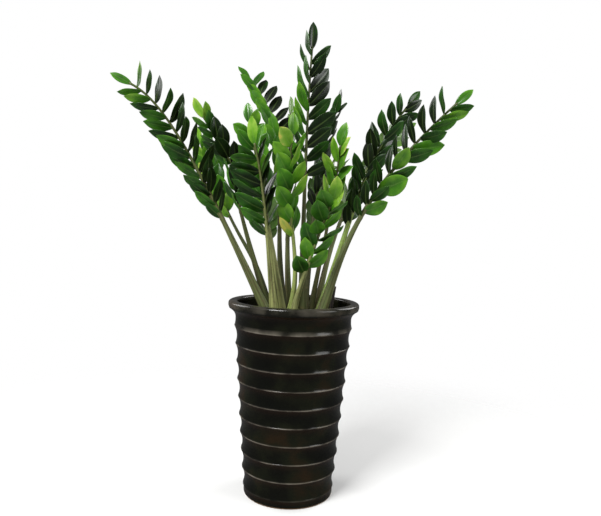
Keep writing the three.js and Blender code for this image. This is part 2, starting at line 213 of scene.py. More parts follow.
def black_iron_glaze():
    """Fired iron glaze: a deep gloss that is black where it lies thick, brown or olive where it lies
    thinner, and breaks to the pale clay along the sharp crests. That pale line is partly the broken glaze
    and partly a painted highlight for the glints that run along the crests."""
    material, tree = new_material("black iron glaze, dipped and fired")
    place = add_node(tree, "ShaderNodeTexCoord", {}).outputs["Object"]
    rib = add_node(tree, "ShaderNodeAttribute", {}, attribute_name="rib").outputs["Vector"]
    parts = add_node(tree, "ShaderNodeSeparateXYZ", {0: rib})
    pooling = add_node(tree, "ShaderNodeTexNoise", {"Vector": place, "Scale": scale_for(90), "Detail": 5})
    glaze = add_node(tree, "ShaderNodeValToRGB", {0: pooling.outputs[0]}, stops=[
        (0.3, "#060705"), (0.68, "#20170b"), (0.46, "#0a0b06"), (0.56, "#12140a")])
    breaks = add_node(tree, "ShaderNodeTexNoise", {"Vector": place, "Scale": scale_for(45), "Detail": 6})
    broken = add_node(tree, "ShaderNodeMapRange", {
        "Value": breaks.outputs[0], "From Min": 0.38, "From Max": 0.64, "To Min": 0.12, "To Max": 1})
    thin = add_node(tree, "ShaderNodeMath", {
        0: parts.outputs[0], 1: broken.outputs[0]}, operation="MULTIPLY")
    rusty = add_node(tree, "ShaderNodeMapRange", {
        "Value": parts.outputs[1], "From Min": 0, "From Max": 1, "To Min": 0, "To Max": 0.55})
    brown = add_node(tree, "ShaderNodeMix", {
        0: rusty.outputs[0], 6: glaze.outputs[0], 7: linear("#23140b")}, data_type="RGBA")
    # Pale along the crests: partly glaze broken to the clay, partly a painted highlight for the glints
    # there.
    crest = add_node(tree, "ShaderNodeMix", {
        0: thin.outputs[0], 6: brown.outputs[2], 7: linear("#7d766a")}, data_type="RGBA")
    foot = add_node(tree, "ShaderNodeMix", {
        0: parts.outputs[2], 6: crest.outputs[2], 7: linear("#8a6d52")}, data_type="RGBA")
    rough = add_node(tree, "ShaderNodeMapRange", {
        "Value": thin.outputs[0], "From Min": 0, "From Max": 1, "To Min": 0.16, "To Max": 0.34})
    ripple_place = add_node(tree, "ShaderNodeMapping", {"Vector": place, "Scale": (1, 1, 8)})
    ripples = add_node(tree, "ShaderNodeTexNoise", {
        "Vector": ripple_place.outputs[0], "Scale": scale_for(60), "Detail": 4})
    throwing = add_node(tree, "ShaderNodeBump", {
        "Height": ripples.outputs[0], "Strength": 0.35, "Distance": 1.2 * MM})
    peel = add_node(tree, "ShaderNodeTexNoise", {"Vector": place, "Scale": scale_for(3), "Detail": 2})
    surface = add_node(tree, "ShaderNodeBump", {
        "Height": peel.outputs[0], "Strength": 0.12, "Distance": 0.3 * MM, "Normal": throwing.outputs[0]})
    shader = add_node(tree, "ShaderNodeBsdfPrincipled", {
        "Base Color": foot.outputs[2], "Roughness": rough.outputs[0], "IOR": 1.42,
        "Normal": surface.outputs[0]})
    add_node(tree, "ShaderNodeOutputMaterial", {"Surface": shader.outputs[0]})
    return material


def thrown_rings():
    """The profile turned round the axis, a little uneven as a pot thrown by hand is. Each point also
    carries its crest, how near below one it lies, and whether it is bare."""
    angles = np.linspace(0, 2 * math.pi, POT_SIDES, endpoint=False)
    rings = []
    for radius, height, crest in pot_profile():
        outer = 1 if radius > inside_radius(height) + WALL / 2 and 8 < height < LIP_UNDERSIDE else 0
        lean = 0.5 * outer * np.sin(2 * angles + height / 90)
        wobble = outer * crest * 0.8 * np.sin(angles * 3 + height / 31) * np.sin(angles + height)
        below = math.exp(-(((height - RIB_LOWEST) % RIB_PITCH / RIB_PITCH - 1) / 0.25) ** 2) * outer
        bare = 1 if height < 3 else 0
        rings.append([((radius + r) * math.cos(a), (radius + r) * math.sin(a), height + h,
                       crest, below, bare) for a, r, h in zip(angles, lean, wobble)])
    return rings


pot = make_piece("thrown_pot", skin(thrown_rings()), black_iron_glaze(), ["rib"])
for drain in range(DRAIN_COUNT):
    angle = drain * 2 * math.pi / DRAIN_COUNT
    bpy.ops.mesh.primitive_cylinder_add(
        vertices=DRAIN_SIDES, radius=DRAIN_RADIUS * MM, depth=4 * FLOOR * MM,
        location=(DRAIN_CIRCLE * math.cos(angle) * MM, DRAIN_CIRCLE * math.sin(angle) * MM, 0),
        rotation=(0, 0, DRAIN_TURN))
    drill = bpy.context.object
    cut = pot.modifiers.new("drain", "BOOLEAN")
    cut.object, cut.operation, cut.solver = drill, "DIFFERENCE", "EXACT"
    bpy.context.view_layer.objects.active = pot
    bpy.ops.object.modifier_apply(modifier=cut.name)
    bpy.data.objects.remove(drill)
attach(pot, "root")
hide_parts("pot")

# ---------------------------------------------------------------- soil
# Potting soil, peat and fine bark, filled in round the tubers and firmed by hand. Its top has settled
# below the lip, uneven, with loose crumbs and bits of bark lying on it.

SOIL_DOME = 3  # higher in the middle
SOIL_GAP = 0.3  # left to the pot's wall
SOIL_SIDES = 120
CRUMB_COUNT = 620
CRUMB_SIZES = (1.2, 4.5)  # half the smallest and the largest
CRUMB_FLATNESS = [0.35, 0.8]  # of bark and of a crumb
CRUMB_MARGIN = 7

random = np.random.default_rng(7)


def potting_soil():
    """Damp peat with bark in it: matt, nearly black-brown, with lighter brown grains that catch light."""
    material, tree = new_material("potting soil, peat and fine bark")
    place = add_node(tree, "ShaderNodeTexCoord", {}).outputs["Object"]
    grains = add_node(tree, "ShaderNodeTexVoronoi", {"Vector": place, "Scale": scale_for(5)})
    damp = add_node(tree, "ShaderNodeTexNoise", {"Vector": place, "Scale": scale_for(45), "Detail": 6})
    grain_colour = add_node(tree, "ShaderNodeValToRGB", {0: grains.outputs["Color"]}, stops=[
        (0.2, "#1c130d"), (0.85, "#5a4331"), (0.55, "#2e2118"), (0.7, "#3d2c20")])
    colour = add_node(tree, "ShaderNodeMix", {
        0: damp.outputs[0], 6: grain_colour.outputs[0], 7: linear("#17100b")}, data_type="RGBA")
    crumble = add_node(tree, "ShaderNodeBump", {
        "Height": grains.outputs["Distance"], "Strength": 0.8, "Distance": 2 * MM})
    shader = add_node(tree, "ShaderNodeBsdfPrincipled", {
        "Base Color": colour.outputs[2], "Roughness": 0.93, "IOR": 1.45, "Normal": crumble.outputs[0]})
    add_node(tree, "ShaderNodeOutputMaterial", {"Surface": shader.outputs[0]})
    return material


def soil_height(x, y):
    wide, fine = Vector((x / 40, y / 40, 3)), Vector((x / 9, y / 9, 8))
    dome = SOIL_TOP + SOIL_DOME * (1 - (math.hypot(x, y) / inside_radius(SOIL_TOP)) ** 2)
    return dome + 3 * noise.noise(wide) + 1.6 * noise.noise(fine)


def soil_rings():
    angles = np.linspace(0, 2 * math.pi, SOIL_SIDES, endpoint=False)
    sides = [(FLOOR_MIDDLE, FLOOR + SOIL_GAP),
             (inside_radius(FLOOR) - CORNER - SOIL_GAP, FLOOR + SOIL_GAP)]
    for height in np.linspace(FLOOR + CORNER, SOIL_TOP - 6, 12):
        sides.append((inside_radius(height) - SOIL_GAP, height))
    rings = [[(radius * math.cos(a), radius * math.sin(a), height) for a in angles]
             for radius, height in sides]
    for radius in np.linspace(inside_radius(SOIL_TOP) - 2, 2, 44):
        spots = [(radius * math.cos(a), radius * math.sin(a)) for a in angles]
        rings.append([(x, y, soil_height(x, y)) for x, y in spots])
    return rings


def lump(middle, sizes, roughness, grain, around=8, rows=5):
    """A rounded lump: an egg shape turned at random, its skin pushed in and out."""
    spin = Matrix.Rotation(random.uniform(0, 2 * math.pi), 3, Vector(random.normal(size=3)).normalized())
    rings = []
    for row in np.linspace(0.12, math.pi - 0.12, rows):
        ring = []
        for a in np.linspace(0, 2 * math.pi, around, endpoint=False):
            way = Vector((math.sin(row) * math.cos(a), math.sin(row) * math.sin(a), math.cos(row)))
            push = 1 + roughness * noise.noise((way * grain + Vector(middle)))
            ring.append(Vector(middle) + spin @ Vector([w * s * push for w, s in zip(way, sizes)]))
        rings.append(ring)
    return skin(rings)


def crumbs():
    """Crumbs and flat bits of bark, each sunk a little in the soil."""
    made = []
    for _ in range(CRUMB_COUNT):
        a = random.uniform(0, 2 * math.pi)
        away = (inside_radius(SOIL_TOP) - CRUMB_MARGIN) * math.sqrt(random.uniform())
        x, y = away * math.cos(a), away * math.sin(a)
        size = random.uniform(*CRUMB_SIZES)
        flat = random.choice(CRUMB_FLATNESS)
        middle = (x, y, soil_height(x, y) + size * 0.2)
        made.append(lump(middle, (size, size * 0.75, size * flat), 0.7, 1.6))
    return made


soil = make_piece("potting_soil", joined([skin(soil_rings())] + crumbs()), potting_soil())
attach(soil, "root")
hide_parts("soil")

# ---------------------------------------------------------------- tubers
# The five tubers that the stalks grow from, buried in the soil: fleshy, like long potatoes, with a thin
# corky skin, rings of old leaf scars and small knobs.

TUBER_COUNT = 5
SCAR_WAVES = 22
SCAR_DEPTH = 0.015


def tuber_skin():
    """Corky skin of a tuber: matt and buff, with darker rings and specks of soil."""
    material, tree = new_material("tuber skin, thin and corky")
    place = add_node(tree, "ShaderNodeTexCoord", {}).outputs["Object"]
    rings = add_node(tree, "ShaderNodeTexWave", {
        "Vector": place, "Scale": scale_for(60), "Distortion": 3, "Detail": 3}, bands_direction="Z")
    specks = add_node(tree, "ShaderNodeTexNoise", {"Vector": place, "Scale": scale_for(6), "Detail": 6})
    buff = add_node(tree, "ShaderNodeValToRGB", {0: rings.outputs[0]}, stops=[
        (0, "#6f5538"), (0.25, "#9a7d57")])
    colour = add_node(tree, "ShaderNodeMix", {
        0: specks.outputs[0], 6: buff.outputs[0], 7: linear("#57422c")}, data_type="RGBA")
    bump = add_node(tree, "ShaderNodeBump", {
        "Height": specks.outputs[0], "Strength": 0.5, "Distance": 1 * MM})
    shader = add_node(tree, "ShaderNodeBsdfPrincipled", {
        "Base Color": colour.outputs[2], "Roughness": 0.8, "IOR": 1.45, "Normal": bump.outputs[0]})
    add_node(tree, "ShaderNodeOutputMaterial", {"Surface": shader.outputs[0]})
    return material


def tuber_rings(low, high):
    """An egg that nearly fills the box, ringed by scars and a little lumpy."""
    middle, half = (low + high) / 2, (high - low) / 2
    rings = []
    for up in np.linspace(0.05, math.pi - 0.05, 40):
        ring = []
        for a in np.linspace(0, 2 * math.pi, 48, endpoint=False):
            way = Vector((math.sin(up) * math.cos(a), math.sin(up) * math.sin(a), -math.cos(up)))
            scar = SCAR_DEPTH * max(0, math.cos(up * SCAR_WAVES)) ** 6
            push = 0.96 + 0.05 * noise.noise(way * 2.2 + middle / 50) - scar
            ring.append([m + w * h * push for m, w, h in zip(middle, way, half)])
        rings.append(ring)
    return rings


corky = tuber_skin()
for number in range(1, TUBER_COUNT + 1):
    low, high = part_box(f"tuber_{number}")
    tuber = make_piece(f"corky_tuber_{number}", skin(tuber_rings(low / MM, high / MM)), corky)
    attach(tuber, "root")
    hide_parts(f"tuber_{number}")

# ---------------------------------------------------------------- stump
# What is left of an old stalk that was cut off above the soil: dried, dark, wrinkled lengthways and
# shrunk, with a rough cut end.

STUMP_FOOT = (88, 42, 400)
STUMP_TOP = (107, 46, 538)
STUMP_RADIUS = 5.6


def dried_stalk():
    """Dead stalk tissue: dull, nearly black, with grey-brown wrinkles that run along it."""
    material, tree = new_material("dried stalk, wrinkled")
    place = add_node(tree, "ShaderNodeTexCoord", {}).outputs["Object"]
    along = add_node(tree, "ShaderNodeMapping", {"Vector": place, "Scale": (1, 1, 0.08)})
    wrinkles = add_node(tree, "ShaderNodeTexNoise", {
        "Vector": along.outputs[0], "Scale": scale_for(3), "Detail": 4})
    colour = add_node(tree, "ShaderNodeValToRGB", {0: wrinkles.outputs[0]}, stops=[
        (0.35, "#14110d"), (0.75, "#4a4034")])
    bump = add_node(tree, "ShaderNodeBump", {
        "Height": wrinkles.outputs[0], "Strength": 0.9, "Distance": 1 * MM})
    shader = add_node(tree, "ShaderNodeBsdfPrincipled", {
        "Base Color": colour.outputs[0], "Roughness": 0.75, "IOR": 1.45, "Normal": bump.outputs[0]})
    add_node(tree, "ShaderNodeOutputMaterial", {"Surface": shader.outputs[0]})
    return material


def stump_rings():
    rings = []
    for part in np.append(np.linspace(0, 1, 40), 0.99):
        ring = []
        for a in np.linspace(0, 2 * math.pi, 20, endpoint=False):
            way = Vector((math.cos(a), math.sin(a), 0))
            wrinkled = 1 + 0.22 * noise.noise(way * 2.5 + Vector((0, 0, part * 4)))
            hollow = 0.45 if part == 0.99 and len(rings) == 40 else 1  # the cut end has sunk in
            jagged = 2.5 * noise.noise(way * 3) * part ** 20
            spot = Vector(STUMP_FOOT).lerp(Vector(STUMP_TOP), part)
            ring.append(spot + way * STUMP_RADIUS * wrinkled * hollow * (1 - 0.12 * part)
                        + Vector((0, 0, jagged - 1.5)))
        rings.append(ring)
    return rings


stump = make_piece("cut_stalk", skin(stump_rings()), dried_stalk())
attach(stump, "root")
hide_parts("stump")

# ---------------------------------------------------------------- stalks
# The plant's leaf stalks, one to a frond: thick, round and fleshy at the soil, tapering along the whole
# frond to a thin rib that carries the leaflets. Each grows from a tuber, and none has any bark.

GAP = 0.3  # left round a rough shape
STEM_TIP_RADIUS = 2.5
STEM_TAPER = 2.4  # the power that the radius follows
STEM_SWELLING = 0.1  # of the base, where it leaves the soil
SWELLING_HEIGHT = 40
STALK_DEPTH = 60  # below the soil
TIP_SHARE = 0.72  # of the last leaflet, past the stem's end
STEM_SIDES = 18
STEM_RINGS = 110
KNUCKLE_SIZE = 0.12  # where a leaflet joins
KNUCKLE_LENGTH = 5
RIDGE_COUNT = 5
RIDGE_DEPTH = 0.025  # of the stem's radius

# The points of each stem's curve; its radius at the soil; where the leaflets start, of its length; how
# many leaflets, how long, and how wide near the stem, of their length; and the way that the leafy face
# looks, in degrees round from the front and up. Then for the left and the right row, at the first and
# the last leaflet: their spread from the stem and the turn of their blades. The tones are how light the
# left row, the right row and the tip's leaflets are, from 0, nearly black, to 1, yellow: partly the
# leaves' own green, lighter at a young tip, and partly painted light and shade, a row where light falls
# painted lighter and a row in shade painted darker. The stalk's goes from brown through grey-green and
# tan to bright green.
FRONDS = [
    # three in front of the others: a tall one, a slim pale one and a short bright one
    dict(path=[(-45, -48, 450), (-75, -58, 688), (-88, -107, 875), (-128, -132, 942)], radius=14,
         start=0.42, count=15, length=86, width=0.44, face=(-20, 15),
         spread=((54, 86), (20, 34)), twist=((-24, -24), (50, 50)), tones=(0.42, 0.22, 0.8), stalk=0.72),
    dict(path=[(-18, -32, 450), (36, -42, 620), (-50, -55, 710), (-10, -140, 960)], radius=9,
         start=0.4, count=14, length=74, width=0.56, face=(30, 10),
         spread=((34, 40), (32, 40)), twist=((-20, -20), (-26, -26)), tones=(0.72, 0.68, 0.8), stalk=0.8),
    dict(path=[(-2, -72, 450), (-5, -70, 495), (30, -70, 605), (95, -200, 800)], radius=10,
         start=0.32, count=12, length=72, width=0.6, face=(25, 25),
         spread=((42, 36), (40, 34)), twist=((-24, -24), (-24, -24)), tones=(0.62, 0.66, 0.72), stalk=0.6),
    # the tall one in the middle
    dict(path=[(22, -5, 450), (10, -5, 915), (25, -10, 1225), (30, -10, 1210)], radius=12,
         start=0.46, count=20, length=86, width=0.42, face=(15, 10),
         spread=((42, 32), (60, 40)), twist=((-58, -98), (-12, -24)), tones=(0.5, 0.16, 0.14), stalk=0.2),
    # the long ones that arch out to the left and the right
    dict(path=[(-60, -10, 450), (-300, -45, 935), (-350, -100, 1030), (-465, -110, 1030)], radius=14,
         start=0.38, count=29, length=78, width=0.4, face=(-15, 25),
         spread=((32, 62), (38, 74)), twist=((-26, -40), (-54, -66)), tones=(0.46, 0.1, 0.74), stalk=0.4),
    dict(path=[(58, -38, 450), (110, -40, 550), (95, -40, 750), (410, -130, 1035)], radius=14,
         start=0.4, count=23, length=78, width=0.44, face=(15, 25),
         spread=((40, 64), (36, 44)), twist=((-60, -66), (-20, -30)), tones=(0.16, 0.54, 0.5), stalk=0.35),
    dict(path=[(60, -2, 450), (140, 0, 690), (155, 20, 885), (320, 40, 1065)], radius=14,
         start=0.37, count=23, length=76, width=0.44, face=(25, 20),
         spread=((36, 56), (22, 36)), twist=((-56, -60), (-24, -24)), tones=(0.16, 0.26, 0.2), stalk=0.9),
    # the second row
    dict(path=[(-58, 25, 450), (-295, 20, 1130), (-35, 25, 615), (-280, 20, 1015)], radius=12,
         start=0.46, count=21, length=72, width=0.48, face=(-45, 15),
         spread=((24, 44), (34, 52)), twist=((-26, -26), (-44, -60)), tones=(0.5, 0.14, 0.84), stalk=0.2),
    dict(path=[(-20, 40, 450), (-85, 45, 760), (20, 55, 925), (-175, 70, 1120)], radius=11,
         start=0.46, count=23, length=74, width=0.42, face=(35, 10),
         spread=((18, 26), (36, 58)), twist=((-24, -24), (44, 56)), tones=(0.58, 0.06, 0.54), stalk=0.15),
    dict(path=[(42, 22, 450), (60, 20, 600), (100, -15, 775), (105, -70, 950)], radius=9,
         start=0.45, count=13, length=76, width=0.56, face=(-35, 10),
         spread=((28, 36), (26, 34)), twist=((-22, -22), (24, 24)), tones=(0.74, 0.68, 0.78), stalk=0.1),
    dict(path=[(-60, 58, 450), (-125, 70, 690), (-135, 60, 560), (-290, 110, 960)], radius=10,
         start=0.5, count=13, length=70, width=0.56, face=(-30, 20),
         spread=((26, 40), (26, 40)), twist=((-24, -24), (-40, -40)), tones=(0.7, 0.62, 0.8), stalk=0.25),
    # a dark one behind the tall one
    dict(path=[(27, 55, 450), (45, 60, 650), (35, 105, 865), (120, 150, 1090)], radius=10,
         start=0.45, count=19, length=72, width=0.44, face=(60, 15),
         spread=((34, 40), (34, 40)), twist=((-24, -24), (-24, -24)), tones=(0.2, 0.16, 0.3), stalk=0.12),
    # a slim pale one near the middle
    dict(path=[(-24, 6, 450), (-40, 0, 545), (-85, -15, 760), (-140, -15, 1005)], radius=10,
         start=0.48, count=15, length=70, width=0.54, face=(-10, 15),
         spread=((32, 42), (30, 40)), twist=((-24, -24), (-24, -24)), tones=(0.62, 0.5, 0.76), stalk=0.62),
    # and the ones at the back
    dict(path=[(60, 55, 450), (90, 70, 740), (225, 150, 965), (330, 170, 995)], radius=11,
         start=0.4, count=20, length=72, width=0.46, face=(150, 25),
         spread=((24, 44), (24, 40)), twist=((-24, -24), (-50, -50)), tones=(0.34, 0.28, 0.44), stalk=0.4),
    dict(path=[(-10, 78, 450), (-35, 85, 655), (-20, 150, 900), (-30, 190, 1070)], radius=11,
         start=0.32, count=22, length=76, width=0.5, face=(130, 15),
         spread=((36, 42), (36, 42)), twist=((-24, -24), (-24, -24)), tones=(0.3, 0.36, 0.56), stalk=0.45),
    dict(path=[(-48, 90, 450), (-60, 110, 640), (-90, 170, 800), (-170, 290, 920)], radius=12,
         start=0.38, count=20, length=78, width=0.5, face=(215, 30),
         spread=((34, 46), (36, 48)), twist=((-24, -24), (-24, -24)), tones=(0.4, 0.36, 0.62), stalk=0.5),
    dict(path=[(28, 92, 450), (40, 120, 650), (60, 190, 840), (130, 300, 940)], radius=12,
         start=0.38, count=20, length=78, width=0.5, face=(145, 30),
         spread=((34, 46), (36, 48)), twist=((-24, -24), (-24, -24)), tones=(0.34, 0.44, 0.64), stalk=0.4),
]


class Stem:
    """A frond's curve: places on it go by their share of its length."""

    def __init__(self, frond):
        self.frond = frond
        self.path = np.array(frond["path"], float)
        self.steps = np.linspace(0, 1, 201)
        points = np.array([self.point(step) for step in self.steps])
        self.reach = np.append(0, np.cumsum(np.linalg.norm(np.diff(points, axis=0), axis=1)))
        self.length = self.reach[-1]
        around, up = np.radians(frond["face"])
        self.looks = Vector((
            math.sin(around) * math.cos(up), -math.cos(around) * math.cos(up), math.sin(up)))
        self.tip = 1 - TIP_SHARE * frond["length"] / self.length

    def point(self, step):
        rest = 1 - step
        weights = (rest ** 3, 3 * rest ** 2 * step, 3 * rest * step ** 2, step ** 3)
        return sum(weight * corner for weight, corner in zip(weights, self.path))

    def spot(self, part):
        """The point there, and the directions along the stem, to its right and out of its leafy face."""
        step = np.interp(max(part, 0) * self.length, self.reach, self.steps)
        rest = 1 - step
        sides = np.diff(self.path, axis=0)
        along = rest ** 2 * sides[0] + 2 * rest * step * sides[1] + step ** 2 * sides[2]
        along = Vector(along).normalized()
        right = along.cross(self.looks).normalized()
        at = Vector(self.point(step)) + Vector((0, 0, min(part, 0) * self.length))
        return at, along, right, right.cross(along)

    def radius(self, part):
        taper = (1 - max(part, 0)) ** STEM_TAPER
        swelling = 1 + STEM_SWELLING * math.exp(-((part * self.length / SWELLING_HEIGHT) ** 2))
        return STEM_TIP_RADIUS + (self.frond["radius"] - STEM_TIP_RADIUS) * taper * swelling


def fleshy_stalk():
    """A living stalk: satin, grey-green to tan, with darker streaks and brown patches that run along it,
    fine brown flecks and a greener top."""
    material, tree = new_material("fleshy stalk, smooth and streaked")
    place = add_node(tree, "ShaderNodeAttribute", {}, attribute_name="along").outputs["Vector"]
    tone = add_node(tree, "ShaderNodeAttribute", {}, attribute_name="tone").outputs["Vector"]
    tones = add_node(tree, "ShaderNodeSeparateXYZ", {0: tone})
    stretched = add_node(tree, "ShaderNodeMapping", {"Vector": place, "Scale": (1, 1, 0.035)})
    streaks = add_node(tree, "ShaderNodeTexNoise", {
        "Vector": stretched.outputs[0], "Scale": scale_for(5), "Detail": 4})
    flecks = add_node(tree, "ShaderNodeTexNoise", {"Vector": place, "Scale": scale_for(7), "Detail": 5})
    colour = add_node(tree, "ShaderNodeValToRGB", {0: tones.outputs[0]}, stops=[
        (0, "#4a3f2c"), (1, "#86b03a"), (0.3, "#5d6b3e"), (0.7, "#a2a56a")])
    streak_share = add_node(tree, "ShaderNodeMapRange", {
        "Value": streaks.outputs[0], "From Min": 0.42, "From Max": 0.68, "To Min": 0, "To Max": 0.85})
    streaked = add_node(tree, "ShaderNodeMix", {
        0: streak_share.outputs[0], 6: colour.outputs[0], 7: linear("#3d4526")}, data_type="RGBA")
    fleck_share = add_node(tree, "ShaderNodeMapRange", {
        "Value": flecks.outputs[0], "From Min": 0.54, "From Max": 0.68, "To Min": 0, "To Max": 0.6})
    flecked = add_node(tree, "ShaderNodeMix", {
        0: fleck_share.outputs[0], 6: streaked.outputs[2], 7: linear("#6a5a3c")}, data_type="RGBA")
    greening = add_node(tree, "ShaderNodeMapRange", {
        "Value": tones.outputs[1], "From Min": 0.25, "From Max": 0.8, "To Min": 0, "To Max": 0.75})
    greened = add_node(tree, "ShaderNodeMix", {
        0: greening.outputs[0], 6: flecked.outputs[2], 7: linear("#4b5a2a")}, data_type="RGBA")
    patches = add_node(tree, "ShaderNodeTexNoise", {
        "Vector": stretched.outputs[0], "Scale": scale_for(22), "Detail": 3})
    patch_share = add_node(tree, "ShaderNodeMapRange", {
        "Value": patches.outputs[0], "From Min": 0.45, "From Max": 0.62, "To Min": 0, "To Max": 0.65})
    browned = add_node(tree, "ShaderNodeMix", {
        0: patch_share.outputs[0], 6: greened.outputs[2], 7: linear("#4d3d2b")}, data_type="RGBA")
    bump = add_node(tree, "ShaderNodeBump", {
        "Height": streaks.outputs[0], "Strength": 0.4, "Distance": 0.8 * MM})
    shader = add_node(tree, "ShaderNodeBsdfPrincipled", {
        "Base Color": browned.outputs[2], "Roughness": 0.42, "IOR": 1.42, "Normal": bump.outputs[0]})
    add_node(tree, "ShaderNodeOutputMaterial", {"Surface": shader.outputs[0]})
    return material


def stem_rings(stem):
    """Rings along the stem, slightly ridged, with a small knuckle where each leaflet joins."""
    frond = stem.frond
    joints = [frond["start"] + (stem.tip - frond["start"]) * (leaflet + 0.5) / frond["count"]
              for leaflet in range(frond["count"])]
    rings = []
    for part in np.linspace(-STALK_DEPTH / stem.length, stem.tip, STEM_RINGS):
        at, along, right, out = stem.spot(part)
        knuckle = sum(
            math.exp(-(((part - joint) * stem.length / KNUCKLE_LENGTH) ** 2)) for joint in joints)
        radius = stem.radius(part) * (1 + KNUCKLE_SIZE * min(knuckle, 1))
        ring = []
        for a in np.linspace(0, 2 * math.pi, STEM_SIDES, endpoint=False):
            ridged = radius * (1 + RIDGE_DEPTH * math.cos(RIDGE_COUNT * a + part * 3))
            spot = at + right * ridged * math.cos(a) + out * ridged * math.sin(a)
            local = (radius * math.cos(a) * MM, radius * math.sin(a) * MM, part * stem.length * MM)
            ring.append((*spot, *local, frond["stalk"], part, 0))
        rings.append(ring)
    return rings


stems = [Stem(frond) for frond in FRONDS]
fleshy = fleshy_stalk()
for number, stem in enumerate(stems, start=1):
    stalk = make_piece(f"fleshy_stalk_{number:02}", skin(stem_rings(stem)), fleshy, ["along", "tone"])
    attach(stalk, "root")
    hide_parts(f"stalk_{number:02}")

# ---------------------------------------------------------------- leaflets
# Thick, stiff leaflets in two rows along each stem, which take turns, and one at its end. Each is folded
# a little along its midrib, falls back at its tip, and has a waxy skin that shines like polish.

BLADE_THICKNESS = 2.5  # of the rough blade that finds room for a leaflet
BLADE_TAPER = 0.4  # of its width, lost towards the tip
BLADE_RECURVE = 0.1  # of its length, at the tip
SMALLEST_LEAFLET = 0.75  # the first and the last, of the longest
LENGTH_VARIATION = 0.16
RISE = 20  # degrees out of the frond's face
RISE_VARIATION = 44  # degrees
SPREAD_VARIATION = 18  # degrees
TURN_VARIATION = 30  # degrees
SWINGS = [0, 14, -14, 28, -28, 42, -42]  # degrees that a crowded leaflet may turn aside
ROUGH_SIDES = 6
STALK_STEPS = 5
LEAFY_STEPS = 9
LEAF_THICKNESS = 1.5
FULLNESS = 1.02  # a leaflet's greatest width, of the rough blade's
LAST_FULLNESS = 0.86  # the last leaflet's, of the others'
FOOT_WIDTH = 1.6  # half the width of the foot that joins the stem
RIB_HEIGHT = 0.9  # of the midrib below the blade, at the foot
RIB_REACH = 0.14  # to each side, of half the width
VEIN_COUNT = 16
VEIN_SLANT = 2.6  # veins further on at the margin

# By frond and place: one old leaflet has started to turn, and two have grown broad.
YELLOW_LEAFLET = (2, 0)
YELLOW_WIDTH, YELLOW_LENGTH = 0.6, 1.12  # of its usual ones
ROUND_LEAFLETS = {(6, 1), (6, 5)}
ROUND_WIDTH, ROUND_TONE = 1.45, 0.66
LIGHTEST_TONE = 0.9  # of all the others
TONE_VARIATION = 0.36
YOUNG_PART = 0.25  # of the leafy part, with a young tone


def chance(frond_number, leaflet, use):
    """A number from 0 to 1 that looks random and is the same for the same leaflet."""
    wave = math.sin((frond_number - 1) * 12.9898 + leaflet * 78.233 + use * 37.719) * 43758.5453
    return wave - math.floor(wave)


def rough_stem(stem, first, last, steps, margin):
    rings = []
    for part in np.linspace(first, last, steps + 1):
        at, _, right, out = stem.spot(part)
        radius = stem.radius(part) + margin
        turns = [2 * math.pi * side / ROUGH_SIDES for side in range(ROUGH_SIDES)]
        rings.append([at + right * math.sin(a) * radius + out * math.cos(a) * radius for a in turns])
    return skin(rings)


def rough_blade(leaf, margin):
    """The simple blade, pointed at both ends with a keel below, that stands for a leaflet's room."""
    rings = []
    for way in (0.001, 0.25, 0.75, 0.999):
        half = ((1 - BLADE_TAPER * way) * leaf["width"] / 2 + margin) * (0.2 < way < 0.8)
        ring = []
        for side, down in ((-1, 0), (1, 0), (0, 1)):
            depth = (down if half else 1 / 3) * (BLADE_THICKNESS + 2 * margin)
            ring.append(leaf["root"] + leaf["along"] * way * (leaf["length"] + margin)
                        + leaf["across"] * side * half
                        + leaf["upper"] * (margin - depth - BLADE_RECURVE * leaf["length"] * way ** 2))
        rings.append(ring)
    return skin(rings)


def tree_of(made):
    return BVHTree.FromPolygons(made[0].tolist(), made[1])


def leaflet_at(stem, number, leaflet, swing):
    """Where one leaflet grows, its length and the directions along, across and out of its blade."""
    frond = stem.frond
    last = leaflet == frond["count"] - 1
    way = (leaflet + 0.5) / frond["count"]
    row = leaflet % 2
    side = 1 if row else -1
    vary = lambda use, spread: spread * (chance(number, leaflet, use) - 0.5)
    at_leaflet = lambda rows: rows[row][0] + (rows[row][1] - rows[row][0]) * way
    share = 0.98 if last else way
    root, along, right, out = stem.spot(frond["start"] + (stem.tip - frond["start"]) * share)
    spread = 0 if last else math.radians(at_leaflet(frond["spread"]) + vary(1, SPREAD_VARIATION))
    rise = math.radians(RISE + vary(4, RISE_VARIATION) + swing * side)
    blade = (along * math.cos(spread) + right * side * math.sin(spread) * math.cos(rise)
             + out * math.sin(spread) * math.sin(rise))
    upper = (out - blade * out.dot(blade)).normalized()
    turn = 0 if last else math.radians(at_leaflet(frond["twist"]) + vary(2, TURN_VARIATION))
    upper.rotate(Matrix.Rotation(-side * turn, 3, blade))
    middle = math.sin(math.pi * way ** 0.8)
    size = (SMALLEST_LEAFLET + (1 - SMALLEST_LEAFLET) * middle) * (1 + vary(3, LENGTH_VARIATION))
    length = frond["length"] * size
    return dict(root=root, along=blade, upper=upper, across=blade.cross(upper), way=way, side=side,
                length=length, width=length * frond["width"], last=last, number=leaflet)


def leaflets_with_room(stem, number, others):
    """Each leaflet takes the first swing that clears the other fronds and its own neighbours, or else
    the first that clears the other fronds."""
    placed, own = [], []
    for leaflet in range(stem.frond["count"]):
        free = []
        for swing in SWINGS:
            room = tree_of(rough_blade(leaflet_at(stem, number, leaflet, swing), GAP))
            if not room.overlap(others):
                free.append((swing, any(room.overlap(other) for other in own)))
        clear = [swing for swing, crowded in free if not crowded] + [swing for swing, _ in free]
        if clear:
            placed.append(leaflet_at(stem, number, leaflet, clear[0]))
            own.append(tree_of(rough_blade(placed[-1], 0)))
    return placed


BLADE_WAYS = (1 - np.cos(np.linspace(0.06, math.pi - 0.05, 26))) / 2
BLADE_TURNS = np.linspace(0, 2 * math.pi, 24, endpoint=False)


